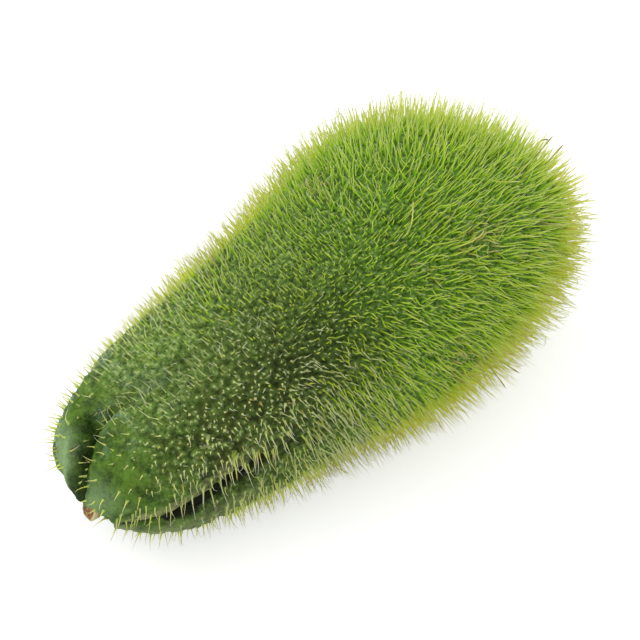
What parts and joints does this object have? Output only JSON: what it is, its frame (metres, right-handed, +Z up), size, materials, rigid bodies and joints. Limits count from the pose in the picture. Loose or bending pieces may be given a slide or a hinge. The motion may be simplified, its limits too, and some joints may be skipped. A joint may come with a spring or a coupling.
{
  "type": "spiny chayote",
  "caption": "A whole spiny chayote lying on its side: a green pear-shaped fruit covered in stiff bristles, lobed at its stem end",
  "frame": {"origin": "on the surface the fruit lies on, under the middle of its outer box, bristles included", "axes": "+Z up, +X along the fruit from the stem end to the blossom end"},
  "size_m": [0.159, 0.0862, 0.0788],
  "materials": {
    "green_rind": "waxy green skin with lime bristles",
    "corky_stem": "dry corky stem scar"
  },
  "bodies": {
    "root": {"fruit": "green_rind", "stem_stub": "corky_stem"}
  },
  "joints": []
}
